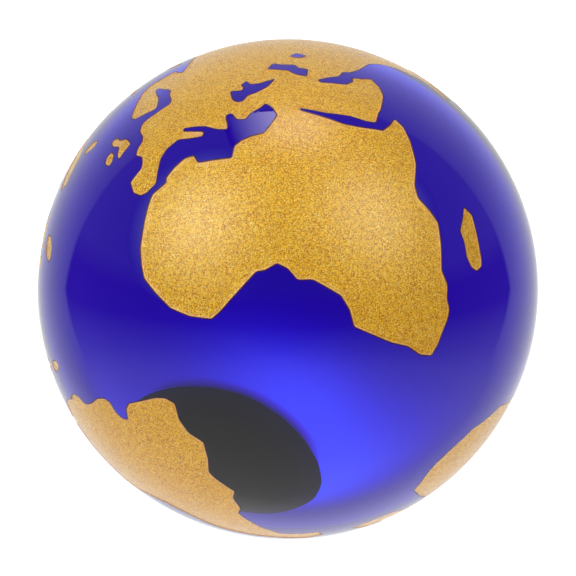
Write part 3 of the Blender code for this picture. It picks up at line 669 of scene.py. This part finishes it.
film_low, film_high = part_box("pad_adhesive")
pad_low, pad_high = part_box("felt_pad")
film = turned("adhesive_film_disc", [(0, FOOT_Z + 0.00002), (0.004, FOOT_Z + 0.00002), (0.0078, FOOT_Z + 0.00002), (0.01063, FOOT_Z + 0.00002), (0.0104, film_low[2] - 0.0001), (0.0078, film_low[2] - 0.0001), (0.004, film_low[2] - 0.0001), (0, film_low[2] - 0.0001)], 120, film_material, 0.002)
film.data.set_sharp_from_angle(angle=math.radians(50))
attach(film, "root")
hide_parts("pad_adhesive")

top, bottom, edge = pad_high[2], 0.0, 0.0103
profile = [(0, top)] + [(r, top) for r in (0.002, 0.004, 0.006, 0.008, 0.0095)]
for k in range(7):
    a = math.pi / 2 * k / 6
    profile.append((edge - 0.00035 + 0.00035 * math.sin(a), top - 0.00035 + 0.00035 * math.cos(a)))
profile += [(edge + 0.00005, (top + bottom) / 2)]
for k in range(7):
    a = math.pi / 2 * k / 6
    profile.append((edge - 0.0002 + 0.0002 * math.cos(a), bottom + 0.0002 - 0.0002 * math.sin(a)))
profile += [(r, bottom) for r in (0.0095, 0.008, 0.006, 0.004, 0.002)] + [(0, bottom)]
pad = turned("black_felt_pad", profile, 180, felt_material, 0.004)
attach(pad, "root")
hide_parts("felt_pad")

# ------------------------------------------------------------------- studio
right = Vector((0.92276, 0.35555, 0.14866))
back = Vector((0.00915, -0.40586, 0.91389)).normalized()
right = (right - right.dot(back) * back).normalized()
up = back.cross(right)
aim = Vector(CENTRE)

camera_data = bpy.data.cameras.new("camera")
camera = bpy.data.objects.new("camera", camera_data)
bpy.context.scene.collection.objects.link(camera)
camera_data.sensor_width = 36.0
camera_data.lens = 18.0 / math.tan(math.asin(1 / 11.7997)) * (250.3 / 288.0)
camera_data.shift_x = 0.0002
camera_data.shift_y = 0.0014
camera_data.clip_start = 0.01
camera_data.clip_end = 20.0
camera_data.dof.use_dof = False
camera.matrix_world = Matrix.Translation(aim + back * (11.7997 * BALL_RADIUS)) @ Matrix((right, up, back)).transposed().to_4x4()
bpy.context.scene.camera = camera


def toward(u, c, w):
    return (right * u + up * c + back * w).normalized()


def softbox(name, direction, distance, size, power, colour=(1, 1, 1)):
    data = bpy.data.lights.new(name, "AREA")
    data.shape = "RECTANGLE"
    data.size, data.size_y = size
    data.energy = power
    data.color = colour
    obj = bpy.data.objects.new(name, data)
    bpy.context.scene.collection.objects.link(obj)
    obj.location = aim + direction * distance
    obj.rotation_mode = "QUATERNION"
    obj.rotation_quaternion = direction.to_track_quat("Z", "Y")
    obj.visible_camera = False
    obj.visible_transmission = False
    return obj


near_camera = softbox("soft_front", toward(0.26, -0.30, 0.92), 0.7, (0.34, 0.34), 1.08, (1.03, 0.96, 0.84))
near_camera.data.shape = "ELLIPSE"
near_camera.visible_glossy = False


def scrim(name, corners, level_of, colour=(1, 1, 1, 1)):
    """A flat cloth lit from behind, brighter in some places than in others."""
    mesh = bpy.data.meshes.new(name)
    mesh.from_pydata([tuple(p) for p in corners], [], [tuple(range(len(corners)))])
    obj = bpy.data.objects.new(name, mesh)
    bpy.context.scene.collection.objects.link(obj)
    nodes = Nodes(name + "_cloth")
    strength = level_of(nodes, nodes.object_point())
    nodes.put(nodes.output, "Surface", nodes.add("ShaderNodeEmission", {"Color": colour, "Strength": strength}).outputs["Emission"])
    mesh.materials.append(nodes.material)
    obj.visible_camera = False
    obj.visible_transmission = False
    obj.visible_shadow = False
    return obj


def round_scrim(name, direction, distance, radius, spread, level):
    """A round cloth that is brightest in its middle."""
    centre = aim + direction * distance
    across = direction.cross(Vector((0, 0, 1))).normalized()
    along_cloth = direction.cross(across)
    corners = [centre + across * radius * math.cos(t) + along_cloth * radius * math.sin(t) for t in (2 * math.pi * k / 48 for k in range(48))]

    def falling(nodes, point):
        offset = nodes.add("ShaderNodeVectorMath", {0: point, 1: tuple(centre)}, operation="DISTANCE").outputs["Value"]
        x = nodes.maths("DIVIDE", offset, spread)
        return nodes.maths("MULTIPLY", nodes.maths("EXPONENT", nodes.maths("MULTIPLY", nodes.maths("MULTIPLY", x, x), -1.0)), level)

    return scrim(name, corners, falling, (0.97, 1.14, 1.08, 1))


round_scrim("round_scrim_left", toward(-0.615, 0.455, 0.645), 0.7, 0.48, 0.240, 4.75)
round_scrim("round_scrim_right", toward(0.567, 0.50, 0.653), 0.7, 0.46, 0.23, 3.85)


def overhead_point(u, b):
    return aim + up * 0.8 + right * u + back * b


def fading(nodes, point):
    u = nodes.add("ShaderNodeVectorMath", {0: point, 1: tuple(right)}, operation="DOT_PRODUCT").outputs["Value"]
    start = aim.dot(right)
    rise = nodes.remap(u, start - 0.30, start - 0.07)
    return nodes.maths("MULTIPLY", nodes.maths("POWER", rise, 1.3), 4.0)


# the cloth over the object, whose far edge shows in the polish
scrim("overhead_scrim", [overhead_point(-0.32, 0.0317), overhead_point(0.22, 0.0988), overhead_point(0.22, 0.36), overhead_point(-0.32, 0.33)], fading, (1.02, 0.93, 1.04, 1))

floor_mesh = bpy.data.meshes.new("floor")
bm = bmesh.new()
bmesh.ops.create_grid(bm, x_segments=8, y_segments=8, size=3.0)
bm.to_mesh(floor_mesh)
bm.free()
floor = bpy.data.objects.new("floor", floor_mesh)
bpy.context.scene.collection.objects.link(floor)
n = Nodes("pale_floor")
spot = n.object_point()


def pool(middle, reach):
    """A soft round of painted light in the floor's glow beside the foot, standing in for the light the ball gathers
    there.
    """
    offset = n.add("ShaderNodeVectorMath", {0: spot, 1: middle}, operation="SUBTRACT").outputs["Vector"]
    offset = n.add("ShaderNodeVectorMath", {0: offset, 1: (1 / reach[0], 1 / reach[1], 0.0)}, operation="MULTIPLY").outputs["Vector"]
    square = n.add("ShaderNodeVectorMath", {0: offset, 1: offset}, operation="DOT_PRODUCT").outputs["Value"]
    return n.maths("EXPONENT", n.maths("MULTIPLY", square, -1.0))


# painted shade: the floor's glow is darkened right behind the foot, a painted contact shadow running round the back of
# the foot
ahead = n.add("ShaderNodeVectorMath", {0: spot, 1: (0.0, 1.0, 0.0)}, operation="DOT_PRODUCT").outputs["Value"]
flat_spot = n.add("ShaderNodeVectorMath", {0: spot, 1: (1.0, 1.0, 0.0)}, operation="MULTIPLY").outputs["Vector"]
reach_out = n.add("ShaderNodeVectorMath", {0: flat_spot}, operation="LENGTH").outputs["Value"]
contact = n.maths("MULTIPLY", n.remap(reach_out, 0.01275, 0.01235), n.remap(ahead, -0.004, 0.004))
shade = n.maths("SUBTRACT", 1.0, n.maths("MULTIPLY", contact, 0.88))
clear = n.maths("POWER", shade, 3.0)
painted_caustic = n.maths("MULTIPLY", pool((0.0022, 0.0130, 0.0), (0.0046, 0.0029)), 2.5)
lit = n.maths("ADD", painted_caustic, 0.84)
# the painted pool of light is tinted, short of red and rich in green
red = n.maths("SUBTRACT", lit, n.maths("MULTIPLY", n.maths("MULTIPLY", painted_caustic, 0.45), clear))
green = n.maths("ADD", lit, n.maths("MULTIPLY", n.maths("MULTIPLY", n.maths("MULTIPLY", painted_caustic, painted_caustic), 1.8), clear))
red, green, lit = (n.maths("MULTIPLY", channel, shade) for channel in (red, green, lit))
glow = n.add("ShaderNodeCombineColor", {0: red, 1: green, 2: lit}).outputs["Color"]
n.principled(Base_Color=(0.5, 0.5, 0.5, 1), Roughness=0.9, Specular_IOR_Level=0.0, Emission_Color=glow, Emission_Strength=1.0)
floor_mesh.materials.append(n.material)
floor.visible_glossy = False

world = bpy.data.worlds.new("studio")
bpy.context.scene.world = world
world.use_nodes = True


class WorldNodes(Nodes):
    def __init__(self, tree):
        self.tree = tree
        tree.nodes.clear()
        self.output = self.add("ShaderNodeOutputWorld")


w = WorldNodes(world.node_tree)
direction = w.add("ShaderNodeTexCoord").outputs["Generated"]


def along(axis):
    node = w.add("ShaderNodeVectorMath", {0: direction, 1: tuple(axis)}, operation="DOT_PRODUCT")
    return node.outputs["Value"]


def ramp(value, stops):
    node = w.add("ShaderNodeValToRGB", {"Fac": value})
    elements = node.color_ramp.elements
    elements[0].position, elements[0].color = stops[0][0], (stops[0][1],) * 3 + (1,)
    elements[1].position, elements[1].color = stops[-1][0], (stops[-1][1],) * 3 + (1,)
    for position, level in stops[1:-1]:
        elements.new(position).color = (level,) * 3 + (1,)
    return node.outputs["Color"]


c, b = along(up), along(back)
# across the studio: a pale table below, a dark gap, a grey room above
tilted = w.maths("ADD", c, w.maths("MULTIPLY", b, 0.18))
across = ramp(w.remap(tilted, -1, 1), [(0.0, 0.78), (0.20, 0.68), (0.27, 0.57), (0.30, 0.47), (0.335, 0.32), (0.38, 0.20), (0.44, 0.03), (0.525, 0.02), (0.56, 0.08), (0.60, 0.14), (0.8, 0.14), (1.0, 0.12)])
# the camera's own dark side
dark = w.remap(b, 0.86, 0.98, 1.0, 0.3)
across = w.mix(1.0, across, w.add("ShaderNodeCombineColor", {0: dark, 1: dark, 2: dark}).outputs["Color"], "MULTIPLY")
# behind the object everything is white card
edge_of_card = w.maths("ADD", b, w.maths("SUBTRACT", 0.55, w.maths("MULTIPLY", w.maths("ABSOLUTE", c), 0.45)))
behind = ramp(w.remap(edge_of_card, 0.05, -0.45), [(0.0, 0.0), (0.08, 0.41), (1.0, 1.0)])
lift = w.maths("MULTIPLY", w.remap(c, 0.1, -0.9, 1.0, 1.14), w.remap(c, 0.0, 0.5, 1.0, 0.72))
behind = w.mix(1.0, behind, w.add("ShaderNodeCombineColor", {0: lift, 1: lift, 2: lift}).outputs["Color"], "MULTIPLY")
level = w.add("ShaderNodeMix", data_type="RGBA", blend_type="LIGHTEN")
w.put(level, 0, 1.0)
w.put(level, 6, across)
w.put(level, 7, behind)
seen = w.add("ShaderNodeLightPath").outputs["Is Camera Ray"]
light_path = w.add("ShaderNodeLightPath")
through = w.mix(light_path.outputs["Is Transmission Ray"], level.outputs[2], ramp(w.remap(c, -1, 1), [(0.0, 0.95), (0.5, 0.85), (1.0, 0.95)]))
colour = w.mix(seen, through, (0.96, 0.96, 0.965, 1))
background = w.add("ShaderNodeBackground", {"Color": colour, "Strength": 1.0})
w.put(w.output, "Surface", background.outputs["Background"])

scene = bpy.context.scene
scene.view_settings.view_transform = "Standard"
scene.view_settings.look = "None"
